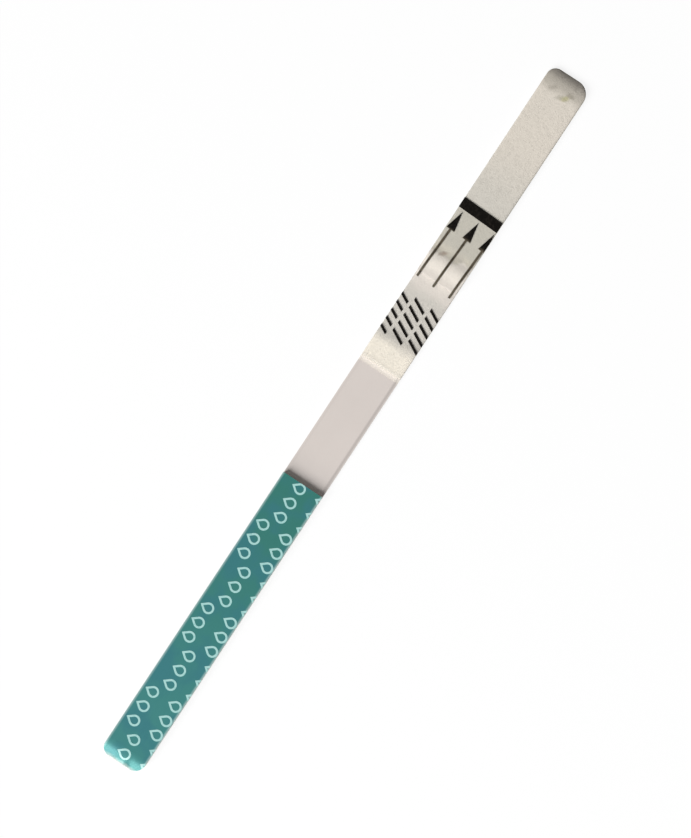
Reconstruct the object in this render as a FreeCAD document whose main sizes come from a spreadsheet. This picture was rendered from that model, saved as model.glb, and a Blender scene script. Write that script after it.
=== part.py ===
import FreeCAD, Part
import math
import os
import Sketcher

# Dip strip of the lateral-flow kind, in millimetres.
# X runs from the handle end to the dip end, Y across the strip and Z up from the bench.
# The strip is a stack of plies on one card. Each ply is drawn as a side section, made wider than
# the strip, and then slit to the strip's outline, which is how the real stack is laid and cut.
# In a side section x is counted from the handle end and z from the underside of the card.

# Driving sizes: alias, value, meaning.
SIZES = [
    ("strip_length", 106.0, "handle end to dip end"),
    ("strip_width", 6.0, "width that the stack is slit to"),
    ("dip_corner_left", 1.3, "corner radius at the dip end, +Y side"),
    ("dip_corner_right", 1.9, "corner radius at the dip end, -Y side"),
    ("handle_corner_left", 1.3, "corner radius at the handle end, +Y side"),
    ("handle_corner_right", 1.65, "corner radius at the handle end, -Y side"),
    ("card_thickness", 0.30, "backing card with its coat of adhesive"),
    ("membrane_thickness", 0.20, "nitrocellulose on its own film"),
    ("conjugate_thickness", 0.40, "glass-fibre conjugate pad"),
    ("sample_thickness", 0.75, "sample pad"),
    ("wick_thickness", 0.90, "absorbent pad"),
    ("handle_tape_thickness", 0.08, "coloured tape over the absorbent pad"),
    ("film_thickness", 0.05, "clear film over the conjugate pad"),
    ("ink_thickness", 0.015, "printed ink"),
    ("handle_length", 43.0, "handle end to the front edge of the handle tape"),
    ("window_length", 17.5, "bare membrane between the two tapes"),
    ("film_length", 25.0, "clear film, from the window to just beyond the limit bar"),
    ("wick_lap", 2.5, "membrane that lies under the absorbent pad"),
    ("membrane_tail", 4.5, "membrane that lies under the film"),
    ("conjugate_reach", 16.6, "start of the film to the far end of the conjugate pad"),
    ("film_landing", 0.15, "film that lies flat on the membrane before it climbs"),
    ("conjugate_climb", 1.0, "run of the film's climb on to the conjugate pad"),
    ("sample_climb", 3.6, "run of the film's climb on to the sample pad"),
    ("sample_crest", 0.2, "level top between that climb and the settling behind it"),
    ("settle_lead", 0.9, "how far before the end of the ply below a pad starts to settle"),
    ("settle_run", 2.6, "run over which it settles"),
    ("handle_roll", 2.2, "length over which the handle end is rolled down"),
    ("handle_edge_height", 0.15, "absorbent pad that is left at its rolled end"),
    ("dip_pinch", 2.7, "length over which the dip end is pinched down"),
    ("dip_edge_height", 0.15, "sample pad that is left at its pinched end"),
    ("print_tilt", 2.2, "degrees that the print on the film lies askew"),
    ("print_shift", 0.41, "how far the print on the film lies to the -Y side"),
    ("print_row_pitch", 2.5, "pitch of the rows of arrows and of marks, across the strip"),
    ("print_rows", 3, "rows of arrows and of marks"),
    ("bar_margin", 0.19, "clear film beyond the limit bar, along the middle of the strip"),
    ("bar_width", 1.45, "limit bar, along the strip"),
    ("arrow_gap", 0.3, "arrow point to limit bar"),
    ("arrow_length", 10.1, "whole arrow"),
    ("arrow_head_length", 2.75, "head of the arrow"),
    ("arrow_head_width", 1.25, "base of the head"),
    ("arrow_shaft_width", 0.33, "line of the arrow"),
    ("stroke_start", 4.4, "start of the film to the foot of the first stroke"),
    ("stroke_width", 0.38, "one slanted stroke, along the strip"),
    ("stroke_height", 2.06, "one slanted stroke, across the strip"),
    ("stroke_lean", 1.0, "how far its top leans towards the dip end"),
    ("stroke_pitch", 1.2, "pitch of the strokes along the strip"),
    ("stroke_count", 5, "strokes in a row"),
    ("drop_radius", 0.76, "round end of a drop"),
    ("drop_point", 1.20, "centre of the round end to the point of the drop"),
    ("drop_line", 0.27, "width of the line that a drop is drawn with"),
    ("drop_pitch", 2.2, "pitch of the drops in a group"),
    ("group_pitch", 12.9, "pitch of the groups along the handle"),
    ("even_group_inset", 11.5, "first drop of the even rows' last group, from the tape's front edge"),
    ("odd_group_inset", 5.1, "first drop of the odd rows' last group, from the tape's front edge"),
    ("even_row_height", 1.37, "first even row, from the centre line to the drops' centres"),
    ("odd_row_height", 0.03, "first odd row, below the centre line"),
    ("row_pair_pitch", 3.5, "pitch from one even row to the next"),
    ("row_pairs", 2, "pairs of rows"),
]

DROPS_IN_GROUP = 3

# Waste that is cut off outside the outline. Any width does.
WASTE = "1"

doc = FreeCAD.newDocument("dip_strip")
sizes = doc.addObject("Spreadsheet::Sheet", "sizes")
for line, (alias, value, meaning) in enumerate(SIZES, start=1):
    sizes.set(f"A{line}", meaning)
    sizes.set(f"B{line}", str(value))
    sizes.setAlias(f"B{line}", alias)
doc.recompute()


def total(*terms):
    """Expression for the sum of some aliases and expressions."""
    return "(" + " + ".join(terms) + ")"


def less(first, *terms):
    """Expression for the first term less all the others."""
    return "(" + " - ".join((first,) + terms) + ")"


def size(alias):
    """Expression that reads one driving size."""
    return "sizes." + alias


def number(expression):
    """Value that an expression has now, for the first drawing of a sketch."""
    return float(sizes.evalExpression(expression))


# Stations along the strip, from the handle end.
HANDLE_END = "0"
DIP_END = size("strip_length")
HANDLE_FRONT = size("handle_length")
FILM_START = total(HANDLE_FRONT, size("window_length"))
FILM_END = total(FILM_START, size("film_length"))
MEMBRANE_START = less(HANDLE_FRONT, size("wick_lap"))
MEMBRANE_END = total(FILM_START, size("membrane_tail"))
CONJUGATE_FOOT = total(FILM_START, size("film_landing"))
CONJUGATE_TOP = total(CONJUGATE_FOOT, size("conjugate_climb"))
CONJUGATE_START = f"({CONJUGATE_FOOT} + {size('conjugate_climb')} / 2)"
CONJUGATE_SETTLE = less(MEMBRANE_END, size("settle_lead"))
CONJUGATE_LEVEL = total(CONJUGATE_SETTLE, size("settle_run"))
CONJUGATE_END = total(FILM_START, size("conjugate_reach"))
SAMPLE_SETTLE = less(CONJUGATE_END, size("settle_lead"))
SAMPLE_LEVEL = total(SAMPLE_SETTLE, size("settle_run"))
SAMPLE_TOP = less(SAMPLE_SETTLE, size("sample_crest"))
SAMPLE_FOOT = less(SAMPLE_TOP, size("sample_climb"))
SAMPLE_START = f"({SAMPLE_TOP} - {size('sample_climb')} / 2)"
PINCH_START = less(DIP_END, size("dip_pinch"))

# Heights from the underside of the card.
CARD_FACE = size("card_thickness")
MEMBRANE_FACE = total(CARD_FACE, size("membrane_thickness"))
CONJUGATE_HIGH = total(MEMBRANE_FACE, size("conjugate_thickness"))
CONJUGATE_LOW = total(CARD_FACE, size("conjugate_thickness"))
CONJUGATE_EDGE = f"(({MEMBRANE_FACE} + {CONJUGATE_HIGH}) / 2)"
SAMPLE_HIGH = total(CONJUGATE_LOW, size("sample_thickness"))
SAMPLE_LOW = total(CARD_FACE, size("sample_thickness"))
SAMPLE_EDGE = f"(({CONJUGATE_LOW} + {SAMPLE_HIGH}) / 2)"
SAMPLE_DIP_EDGE = total(CARD_FACE, size("dip_edge_height"))
WICK_FACE = total(CARD_FACE, size("wick_thickness"))
WICK_EDGE = total(CARD_FACE, size("handle_edge_height"))
STACK_HEIGHT = total(WICK_FACE, SAMPLE_HIGH)

# Steps of a section's lower or upper line, from the handle end towards the dip end.
# A level run goes to x. A climb goes to (x, z) as two equal arcs, level at both ends. An ease ends
# level at (x, z) and a roll starts level, each as one arc. A step goes straight up or down to z.
LEVEL = "level"
CLIMB = "climb"
EASE = "ease"
ROLL = "roll"
STEP = "step"

# The way of the film over the membrane and the two pads.
FILM_WAY = [
    (LEVEL, CONJUGATE_FOOT),
    (CLIMB, CONJUGATE_TOP, CONJUGATE_HIGH),
    (LEVEL, CONJUGATE_SETTLE),
    (CLIMB, CONJUGATE_LEVEL, CONJUGATE_LOW),
    (LEVEL, SAMPLE_FOOT),
    (CLIMB, SAMPLE_TOP, SAMPLE_HIGH),
    (LEVEL, SAMPLE_SETTLE),
    (CLIMB, SAMPLE_LEVEL, SAMPLE_LOW),
    (LEVEL, FILM_END),
]

# The way of the handle tape over the absorbent pad.
TAPE_WAY = [
    (EASE, size("handle_roll"), WICK_FACE),
    (LEVEL, HANDLE_FRONT),
]


def lifted(way, lift):
    """The same steps, higher by an expression."""
    return [step if step[0] == LEVEL else (*step[:-1], total(step[-1], lift)) for step in way]


def section_edges(start, way):
    """Edges of one line of a section: kind, first point, last point and which of them is level."""
    edges = []
    here = start
    for step in way:
        if step[0] == LEVEL:
            there = (step[1], here[1])
            edges.append(("line", here, there, None))
        elif step[0] == STEP:
            there = (here[0], step[1])
            edges.append(("line", here, there, None))
        elif step[0] == CLIMB:
            there = (step[1], step[2])
            middle = tuple(f"(({a} + {b}) / 2)" for a, b in zip(here, there))
            edges.append(("arc", here, middle, "first"))
            edges.append(("arc", middle, there, "last"))
        else:
            there = (step[1], step[2])
            edges.append(("arc", here, there, "last" if step[0] == EASE else "first"))
        here = there
    return edges


def turned(edge):
    """The same edge, walked the other way."""
    kind, first, last, level = edge
    return kind, last, first, {None: None, "first": "last", "last": "first"}[level]


def arc_between(level_point, far_point):
    """Arc through two points that is level at the first. Also says whether it starts there."""
    px, pz = level_point
    qx, qz = far_point
    centre_z = ((px - qx) ** 2 + qz**2 - pz**2) / (2 * (qz - pz))
    level_angle = math.atan2(pz - centre_z, 0)
    far_angle = math.atan2(qz - centre_z, qx - px)
    starts_level = (far_angle - level_angle) % (2 * math.pi) < math.pi
    angles = (level_angle, far_angle) if starts_level else (far_angle, level_angle)
    circle = Part.Circle(FreeCAD.Vector(px, centre_z, 0), FreeCAD.Vector(0, 0, 1), abs(centre_z - pz))
    return Part.ArcOfCircle(circle, *angles), starts_level


def segment(first, last):
    """Straight line of a sketch between two pairs of coordinates."""
    return Part.LineSegment(FreeCAD.Vector(*first, 0), FreeCAD.Vector(*last, 0))


def new_sketch(body, name, plane_role):
    """Sketch on one of the body's own origin planes."""
    sketch = body.newObject("Sketcher::SketchObject", name)
    plane = next(f for f in body.Origin.OriginFeatures if f.Role == plane_role)
    sketch.AttachmentSupport = (plane, [""])
    sketch.MapMode = "FlatFace"
    return sketch


def fix_distance(sketch, axis, geometry, point, expression):
    """Hold one coordinate of a sketch point at an expression, counted from the sketch's origin."""
    value = number(expression)
    if value == 0:
        line = -2 if axis == "X" else -1
        sketch.addConstraint(Sketcher.Constraint("PointOnObject", geometry, point, line))
        return
    if value > 0:
        ends = (-1, 1, geometry, point)
    else:
        ends = (geometry, point, -1, 1)
        expression = f"-({expression})"
    index = sketch.addConstraint(Sketcher.Constraint("Distance" + axis, *ends, abs(value)))
    sketch.setExpression(f"Constraints[{index}]", expression)


def fix_point(sketch, geometry, point, x, y):
    """Hold both coordinates of a sketch point."""
    fix_distance(sketch, "X", geometry, point, x)
    fix_distance(sketch, "Y", geometry, point, y)


def fix_radius(sketch, geometry, expression):
    """Hold the radius of an arc at an expression."""
    index = sketch.addConstraint(Sketcher.Constraint("Radius", geometry, number(expression)))
    sketch.setExpression(f"Constraints[{index}]", expression)


def join(sketch, first, first_point, second, second_point, kind="Coincident"):
    """Join the ends of two sketch lines or arcs, smoothly if kind is Tangent."""
    sketch.addConstraint(Sketcher.Constraint(kind, first, first_point, second, second_point))


def draw_loop(sketch, edges):
    """Draw a closed chain of section edges, with every corner and every level end held."""
    ends = []
    for kind, first, last, level in edges:
        a = tuple(number(e) for e in first)
        b = tuple(number(e) for e in last)
        if kind == "line":
            ends.append((sketch.addGeometry(segment(a, b), False), 1, 2))
            continue
        arc, starts_level = arc_between(a, b) if level == "first" else arc_between(b, a)
        level_point, far_point = (1, 2) if starts_level else (2, 1)
        points = (level_point, far_point) if level == "first" else (far_point, level_point)
        ends.append((sketch.addGeometry(arc, False), *points))
    for before, here, edge in zip([ends[-1]] + ends[:-1], ends, edges):
        join(sketch, before[0], before[2], here[0], here[1])
        fix_point(sketch, here[0], here[1], *edge[1])
    for (index, start, end), (kind, *_, level) in zip(ends, edges):
        if kind == "arc":
            level_point = start if level == "first" else end
            sketch.addConstraint(Sketcher.Constraint("Vertical", index, 3, index, level_point))


def draw_polygon(sketch, corners):
    """Draw a closed outline of straight lines through corners that are pairs of expressions."""
    draw_loop(sketch, [("line", a, b, None) for a, b in zip(corners, corners[1:] + corners[:1])])


def place_on_strip(feature):
    """Bring a piece that is drawn from the handle end to the frame at the strip's middle."""
    feature.setExpression("Placement.Base.x", "-sizes.strip_length / 2")


def slit(body):
    """Cut a ply to the strip's outline, whose corners are rounded."""
    sketch = new_sketch(body, body.Name + "_outline", "XY_Plane")
    length = number(DIP_END)
    half = number(size("strip_width")) / 2
    right = number(size("dip_corner_right"))
    left = number(size("dip_corner_left"))
    rear_left = number(size("handle_corner_left"))
    rear_right = number(size("handle_corner_right"))
    lines = [
        ((rear_right, -half), (length - right, -half)),
        ((length, right - half), (length, half - left)),
        ((length - left, half), (rear_left, half)),
        ((0, half - rear_left), (0, rear_right - half)),
    ]
    corners = [
        ((length - right, right - half), right, -90, "dip_corner_right"),
        ((length - left, half - left), left, 0, "dip_corner_left"),
        ((rear_left, half - rear_left), rear_left, 90, "handle_corner_left"),
        ((rear_right, rear_right - half), rear_right, 180, "handle_corner_right"),
    ]
    sides = [sketch.addGeometry(segment(a, b), False) for a, b in lines]
    for side, (centre, radius, angle, alias) in enumerate(corners):
        circle = Part.Circle(FreeCAD.Vector(*centre, 0), FreeCAD.Vector(0, 0, 1), radius)
        quarter = Part.ArcOfCircle(circle, math.radians(angle), math.radians(angle + 90))
        arc = sketch.addGeometry(quarter, False)
        join(sketch, sides[side], 2, arc, 1, "Tangent")
        join(sketch, arc, 2, sides[(side + 1) % len(sides)], 1, "Tangent")
        fix_radius(sketch, arc, size(alias))
    for side in (sides[0], sides[2]):
        sketch.addConstraint(Sketcher.Constraint("Horizontal", side))
    for side in (sides[1], sides[3]):
        sketch.addConstraint(Sketcher.Constraint("Vertical", side))
    fix_distance(sketch, "Y", sides[0], 1, "-sizes.strip_width / 2")
    fix_distance(sketch, "X", sides[1], 1, DIP_END)
    fix_distance(sketch, "Y", sides[2], 1, "sizes.strip_width / 2")
    fix_distance(sketch, "X", sides[3], 1, HANDLE_END)
    start = f"-2 * {WASTE}"
    end = total(DIP_END, "2 * " + WASTE)
    side = f"(sizes.strip_width / 2 + 2 * {WASTE})"
    draw_polygon(sketch, [(start, "-" + side), (end, "-" + side), (end, side), (start, side)])
    doc.recompute()
    cut = body.newObject("PartDesign::Pocket", body.Name + "_slit")
    cut.Profile = sketch
    cut.SideType = "Symmetric"
    cut.Type = "ThroughAll"
    body.Tip = cut


def ply(name, start, lower_way, upper_start, upper_way):
    """One ply: its side section, laid wider than the strip and slit to the outline."""
    body = doc.addObject("PartDesign::Body", name)
    body.Label = name
    section = new_sketch(body, name + "_section", "XZ_Plane")
    lower = section_edges(start, lower_way)
    upper = section_edges(upper_start, upper_way)
    far_end = ("line", lower[-1][2], upper[-1][2], None)
    near_end = ("line", upper_start, start, None)
    draw_loop(section, lower + [far_end] + [turned(edge) for edge in reversed(upper)] + [near_end])
    doc.recompute()
    laid = body.newObject("PartDesign::Pad", name + "_laid")
    laid.Profile = section
    laid.SideType = "Symmetric"
    laid.setExpression("Length", "sizes.strip_width + 2 * " + WASTE)
    body.Tip = laid
    doc.recompute()
    slit(body)
    place_on_strip(body)
    doc.recompute()
    return body


def stamp(name):
    """Body for a printing stamp, whose figures are solids of their own."""
    body = doc.addObject("PartDesign::Body", name)
    body.AllowCompound = True
    return body


def tilt_with_film(body):
    """Turn a stamp askew with the film's print, about the middle of the film's far end."""
    upright = FreeCAD.Vector(0, 0, 1)
    body.Placement = FreeCAD.Placement(
        FreeCAD.Vector(0, 0, 0),
        FreeCAD.Rotation(upright, -number(size("print_tilt"))),
    )
    body.setExpression("Placement.Base.x", less(FILM_END, "sizes.strip_length / 2"))
    body.setExpression("Placement.Base.y", "-sizes.print_shift")
    body.setExpression("Placement.Rotation.Angle", "-sizes.print_tilt")


def raise_stamp(body, sketch):
    """Give a stamp's sketch its height."""
    doc.recompute()
    pad = body.newObject("PartDesign::Pad", body.Name + "_raised")
    pad.Profile = sketch
    pad.setExpression("Length", STACK_HEIGHT)
    body.Tip = pad
    doc.recompute()
    return pad


def repeat(body, pad, name, *directions):
    """Repeat a stamp's feature in one or two directions, each an axis, a count and a pitch."""
    axes = {f.Role: f for f in body.Origin.OriginFeatures}
    pattern = body.newObject("PartDesign::LinearPattern", name)
    pattern.Originals = [pad]
    for suffix, (axis, count, pitch) in zip(("", "2"), directions):
        setattr(pattern, "Direction" + suffix, (axes[axis], [""]))
        setattr(pattern, "Mode" + suffix, "Spacing")
        pattern.setExpression("Offset" + suffix, pitch)
        pattern.setExpression("Occurrences" + suffix, count)
        setattr(pattern, "Occurrences" + suffix, round(number(count)))
        # A spacing of -1 stands for the pitch.
        setattr(pattern, "Spacings" + suffix, [-1.0] * (round(number(count)) - 1))
    body.Tip = pattern
    doc.recompute()
    return pattern


def printed(name, blank, stamps):
    """What the stamps leave of a blank sheet of ink."""
    ink = doc.addObject("Part::Common", name)
    ink.Label = name
    ink.Base = blank
    ink.Tool = stamps
    doc.recompute()
    return ink


def bar_stamp():
    """Limit bar, across the whole strip just inside the film's end."""
    body = stamp("bar_stamp")
    sketch = new_sketch(body, "bar_outline", "XY_Plane")
    reach = f"(sizes.strip_width / 2 + {WASTE})"
    front = "-sizes.bar_margin"
    rear = less(front, size("bar_width"))
    draw_polygon(sketch, [(rear, "-" + reach), (front, "-" + reach), (front, reach), (rear, reach)])
    raise_stamp(body, sketch)
    tilt_with_film(body)
    return body


def lowest_row():
    """Expression for the height of the first row of the film's print, at the -Y side."""
    return "(-sizes.print_row_pitch * (sizes.print_rows - 1) / 2)"


def arrow_stamp():
    """One long arrow, repeated across the strip."""
    body = stamp("arrow_stamp")
    sketch = new_sketch(body, "arrow_outline", "XY_Plane")
    point = less("-sizes.bar_margin", size("bar_width"), size("arrow_gap"))
    head = less(point, "sizes.arrow_head_length")
    tail = less(point, "sizes.arrow_length")
    row = lowest_row()
    half_line = "sizes.arrow_shaft_width / 2"
    half_head = "sizes.arrow_head_width / 2"
    draw_polygon(
        sketch,
        [
            (tail, less(row, half_line)),
            (head, less(row, half_line)),
            (head, less(row, half_head)),
            (point, row),
            (head, total(row, half_head)),
            (head, total(row, half_line)),
            (tail, total(row, half_line)),
        ],
    )
    pad = raise_stamp(body, sketch)
    repeat(body, pad, "arrow_rows", ("Y_Axis", size("print_rows"), size("print_row_pitch")))
    tilt_with_film(body)
    return body


def stroke_stamp():
    """One slanted stroke, repeated along and across the strip."""
    body = stamp("stroke_stamp")
    sketch = new_sketch(body, "stroke_outline", "XY_Plane")
    foot = less("sizes.stroke_start", "sizes.film_length")
    bottom = less(lowest_row(), "sizes.stroke_height / 2")
    top = total(lowest_row(), "sizes.stroke_height / 2")
    draw_polygon(
        sketch,
        [
            (foot, bottom),
            (total(foot, "sizes.stroke_width"), bottom),
            (total(foot, "sizes.stroke_width", "sizes.stroke_lean"), top),
            (total(foot, "sizes.stroke_lean"), top),
        ],
    )
    pad = raise_stamp(body, sketch)
    strokes = ("X_Axis", size("stroke_count"), size("stroke_pitch"))
    rows = ("Y_Axis", size("print_rows"), size("print_row_pitch"))
    repeat(body, pad, "stroke_rows", strokes, rows)
    tilt_with_film(body)
    return body


def draw_drop_line(sketch, x, y, radius, point):
    """One closed line of a drop: a round end and two straight sides that meet at its point."""
    cx = number(x)
    cy = number(y)
    r = number(radius)
    d = number(point)
    side_angle = math.acos(r / d)
    centre = FreeCAD.Vector(cx, cy, 0)
    tip = FreeCAD.Vector(cx, cy + d, 0)
    circle = Part.Circle(centre, FreeCAD.Vector(0, 0, 1), r)
    round_end = Part.ArcOfCircle(circle, math.pi / 2 + side_angle, 5 * math.pi / 2 - side_angle)
    arc = sketch.addGeometry(round_end, False)
    left = sketch.addGeometry(Part.LineSegment(tip, round_end.StartPoint), False)
    right = sketch.addGeometry(Part.LineSegment(round_end.EndPoint, tip), False)
    join(sketch, left, 2, arc, 1, "Tangent")
    join(sketch, arc, 2, right, 1, "Tangent")
    join(sketch, right, 2, left, 1)
    fix_radius(sketch, arc, radius)
    fix_point(sketch, arc, 3, x, y)
    fix_point(sketch, left, 1, x, total(y, point))


def drop_rows(body, name, last_x, first_y):
    """Rows of open drops in groups, from one drawn group next to the tape's front edge."""
    sketch = new_sketch(body, name + "_outline", "XY_Plane")
    inner_radius = less(size("drop_radius"), size("drop_line"))
    inner_point = f"({inner_radius} * sizes.drop_point / sizes.drop_radius)"
    for drop in range(DROPS_IN_GROUP):
        x = total(last_x, f"{drop} * sizes.drop_pitch")
        draw_drop_line(sketch, x, first_y, size("drop_radius"), size("drop_point"))
        draw_drop_line(sketch, x, first_y, inner_radius, inner_point)
    pad = raise_stamp(body, sketch)
    pad.Label = name + "_raised"
    groups = ("X_Axis", "ceil(sizes.handle_length / sizes.group_pitch)", size("group_pitch"))
    pairs = ("Y_Axis", size("row_pairs"), size("row_pair_pitch"))
    rows = repeat(body, pad, name, groups, pairs)
    rows.Reversed = True
    doc.recompute()
    return rows


def drop_stamp():
    """Open drops in a brick layout over the whole handle."""
    body = stamp("drop_stamp")
    lower_pairs = "sizes.row_pair_pitch * (sizes.row_pairs - 1)"
    even_y = less(size("even_row_height"), lower_pairs)
    odd_y = f"(-sizes.odd_row_height - {lower_pairs})"
    drop_rows(body, "even_rows", less(HANDLE_FRONT, size("even_group_inset")), even_y)
    drop_rows(body, "odd_rows", less(HANDLE_FRONT, size("odd_group_inset")), odd_y)
    place_on_strip(body)
    doc.recompute()
    return body


# Plies, from the bench up.
backing_card = ply(
    "backing_card",
    (HANDLE_END, "0"),
    [(LEVEL, DIP_END)],
    (HANDLE_END, CARD_FACE),
    [(LEVEL, DIP_END)],
)
membrane = ply(
    "nitrocellulose_membrane",
    (MEMBRANE_START, CARD_FACE),
    [(LEVEL, MEMBRANE_END)],
    (MEMBRANE_START, MEMBRANE_FACE),
    [(LEVEL, MEMBRANE_END)],
)
absorbent_pad = ply(
    "absorbent_pad",
    (HANDLE_END, CARD_FACE),
    [(LEVEL, MEMBRANE_START), (STEP, MEMBRANE_FACE), (LEVEL, HANDLE_FRONT)],
    (HANDLE_END, WICK_EDGE),
    TAPE_WAY,
)
conjugate_pad = ply(
    "conjugate_pad",
    (CONJUGATE_START, MEMBRANE_FACE),
    [(LEVEL, MEMBRANE_END), (STEP, CARD_FACE), (LEVEL, CONJUGATE_END)],
    (CONJUGATE_START, CONJUGATE_EDGE),
    [
        (EASE, CONJUGATE_TOP, CONJUGATE_HIGH),
        (LEVEL, CONJUGATE_SETTLE),
        (CLIMB, CONJUGATE_LEVEL, CONJUGATE_LOW),
        (LEVEL, CONJUGATE_END),
    ],
)
sample_pad = ply(
    "sample_pad",
    (SAMPLE_START, CONJUGATE_LOW),
    [(LEVEL, CONJUGATE_END), (STEP, CARD_FACE), (LEVEL, DIP_END)],
    (SAMPLE_START, SAMPLE_EDGE),
    [
        (EASE, SAMPLE_TOP, SAMPLE_HIGH),
        (LEVEL, SAMPLE_SETTLE),
        (CLIMB, SAMPLE_LEVEL, SAMPLE_LOW),
        (LEVEL, PINCH_START),
        (ROLL, DIP_END, SAMPLE_DIP_EDGE),
    ],
)
handle_tape = ply(
    "handle_tape",
    (HANDLE_END, WICK_EDGE),
    TAPE_WAY,
    (HANDLE_END, total(WICK_EDGE, size("handle_tape_thickness"))),
    lifted(TAPE_WAY, size("handle_tape_thickness")),
)
limit_line_film = ply(
    "limit_line_film",
    (FILM_START, MEMBRANE_FACE),
    FILM_WAY,
    (FILM_START, total(MEMBRANE_FACE, size("film_thickness"))),
    lifted(FILM_WAY, size("film_thickness")),
)

# Blank sheets of ink on the two tapes, and what the stamps leave of them.
film_and_ink = total(size("film_thickness"), size("ink_thickness"))
film_blank = ply(
    "film_ink_blank",
    (FILM_START, total(MEMBRANE_FACE, size("film_thickness"))),
    lifted(FILM_WAY, size("film_thickness")),
    (FILM_START, total(MEMBRANE_FACE, film_and_ink)),
    lifted(FILM_WAY, film_and_ink),
)
tape_and_ink = total(size("handle_tape_thickness"), size("ink_thickness"))
tape_blank = ply(
    "handle_ink_blank",
    (HANDLE_END, total(WICK_EDGE, size("handle_tape_thickness"))),
    lifted(TAPE_WAY, size("handle_tape_thickness")),
    (HANDLE_END, total(WICK_EDGE, tape_and_ink)),
    lifted(TAPE_WAY, tape_and_ink),
)
limit_bar = printed("limit_bar", film_blank, bar_stamp())
dip_arrows = printed("dip_arrows", film_blank, arrow_stamp())
limit_marks = printed("limit_marks", film_blank, stroke_stamp())
handle_marks = printed("handle_marks", tape_blank, drop_stamp())

NODES = [
    backing_card,
    membrane,
    absorbent_pad,
    conjugate_pad,
    sample_pad,
    handle_tape,
    limit_line_film,
    limit_bar,
    dip_arrows,
    limit_marks,
    handle_marks,
]

doc.recompute()
for feature in doc.Objects:
    if "Invalid" in feature.State or "Error" in feature.State:
        raise RuntimeError(f"{feature.Label} is in state {feature.State}")
for node in NODES:
    if node.Shape.isNull() or not node.Shape.isValid():
        raise RuntimeError(f"{node.Label} has no valid shape")

os.makedirs("parts", exist_ok=True)
for node in NODES:
    node.Shape.exportStep(f"parts/{node.Label}.step")
    box = node.Shape.BoundBox
    print(
        f"{node.Label}: {len(node.Shape.Solids)} solids, {node.Shape.Volume:.4f} mm3,"
        f" x {box.XMin:.2f} to {box.XMax:.2f}, z {box.ZMin:.3f} to {box.ZMax:.3f}"
    )
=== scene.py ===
"""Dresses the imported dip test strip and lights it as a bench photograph.

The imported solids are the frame, in metres: X runs along the strip towards its dip end, Y across it
and Z up from the bench. The three fibre pads are modelled here in millimetres, with Blender's own
operators, and brought to metres when they are done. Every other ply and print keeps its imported
solid and gets its finish here.
"""

import logging
import math
from abc import ABC, abstractmethod
from collections.abc import Callable, Iterable
from dataclasses import dataclass, field, replace
from enum import Enum

import bmesh
import bpy
from mathutils import Matrix, Vector

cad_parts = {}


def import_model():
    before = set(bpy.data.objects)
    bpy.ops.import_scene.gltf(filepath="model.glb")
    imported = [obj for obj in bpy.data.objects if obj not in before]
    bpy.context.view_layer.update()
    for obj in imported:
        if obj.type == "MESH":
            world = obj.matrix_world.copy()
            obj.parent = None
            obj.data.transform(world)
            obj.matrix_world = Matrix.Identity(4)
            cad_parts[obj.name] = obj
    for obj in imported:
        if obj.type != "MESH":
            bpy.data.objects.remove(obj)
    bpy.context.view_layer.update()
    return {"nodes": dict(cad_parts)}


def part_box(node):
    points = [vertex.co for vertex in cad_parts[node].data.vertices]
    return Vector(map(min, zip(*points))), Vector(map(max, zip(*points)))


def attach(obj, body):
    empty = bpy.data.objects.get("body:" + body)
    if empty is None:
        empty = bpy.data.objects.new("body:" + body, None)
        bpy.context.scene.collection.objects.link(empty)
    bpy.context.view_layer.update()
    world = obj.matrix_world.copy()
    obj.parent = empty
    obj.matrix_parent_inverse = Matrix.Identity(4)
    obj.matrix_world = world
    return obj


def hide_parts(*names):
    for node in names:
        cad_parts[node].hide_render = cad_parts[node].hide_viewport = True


MM = 0.001
WHITE = (1.0, 1.0, 1.0)
ROOT = "root"
LOG = logging.getLogger("dip_strip")

Colour = tuple[float, float, float]
Span = tuple[float, float]
Socket = bpy.types.NodeSocket
Value = float | Socket
MeshItem = bmesh.types.BMVert | bmesh.types.BMEdge


def srgb(red: int, green: int, blue: int) -> Colour:
    """Turn a colour as a screen shows it into the linear light that shaders use.

    Args:
        red: Red share, 0 to 255.
        green: Green share, 0 to 255.
        blue: Blue share, 0 to 255.

    Returns:
        The three linear shares.
    """
    def linear(share: int) -> float:
        """One share, from its screen value to linear light."""
        value = share / 255
        return value / 12.92 if value <= 0.04045 else ((value + 0.055) / 1.055) ** 2.4

    return linear(red), linear(green), linear(blue)


def millimetre_box(node: str) -> tuple[Vector, Vector]:
    """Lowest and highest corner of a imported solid, in millimetres."""
    low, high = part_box(node)
    return low / MM, high / MM


# Tones and patterns


@dataclass(frozen=True)
class Tone:
    """A colour that a surface takes on.

    Attributes:
        colour: The colour.
        span: Where the change to it begins, and where it is full.
        share: How much of it shows then.
    """

    colour: Colour
    span: Span
    share: float = 1


@dataclass(frozen=True)
class Pattern:
    """Cloudy noise over the strip, and what it does to a surface.

    Attributes:
        scale: Blotches to the millimetre.
        detail: Finer layers on top.
        seed: Shift that gives it a pattern of its own.
        stretch: How much closer the blotches lie in each direction, after the turn.
        turn: Its angle about Z, in degrees.
        shade: How much lighter it makes a colour at its top than at its bottom.
        height: Height of its relief, in millimetres.
        reach: How far a value strays by it, from its bottom to its top.
    """

    scale: float
    detail: float = 2
    seed: float = 0
    stretch: tuple[float, float, float] = (1, 1, 1)
    turn: float = 0
    shade: float = 0
    height: float = 0
    reach: float = 0


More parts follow.
